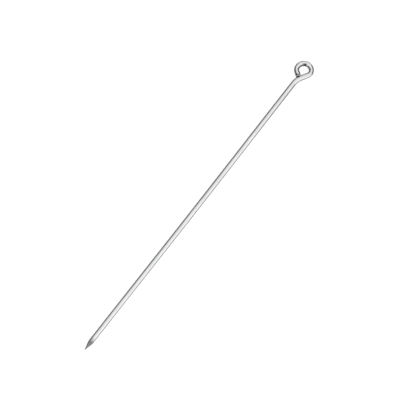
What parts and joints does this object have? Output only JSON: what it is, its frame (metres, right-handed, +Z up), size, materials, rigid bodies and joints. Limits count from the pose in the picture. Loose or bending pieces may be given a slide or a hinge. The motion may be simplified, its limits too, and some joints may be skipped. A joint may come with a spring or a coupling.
{
  "type": "inoculating loop",
  "caption": "Straight round steel wire tool with a closed eye, bent from the same wire, at one end and a ground conical point at the other.",
  "frame": {"origin": "under the middle of the overall length, on the surface that the tool lies on, straight below the shaft's axis", "axes": "+X along the shaft towards the eye, +Z up and square to the eye's plane, +Y to the side that the neck bends away from"},
  "size_m": [0.2, 0.0108, 0.0029],
  "materials": {
    "bright_steel": "bright drawn and polished, with fine lines along the wire",
    "ground_steel": "ground, matte grey"
  },
  "bodies": {
    "root": {"point": "ground_steel", "shaft": "bright_steel", "neck": "bright_steel", "eye": "bright_steel"}
  },
  "joints": []
}
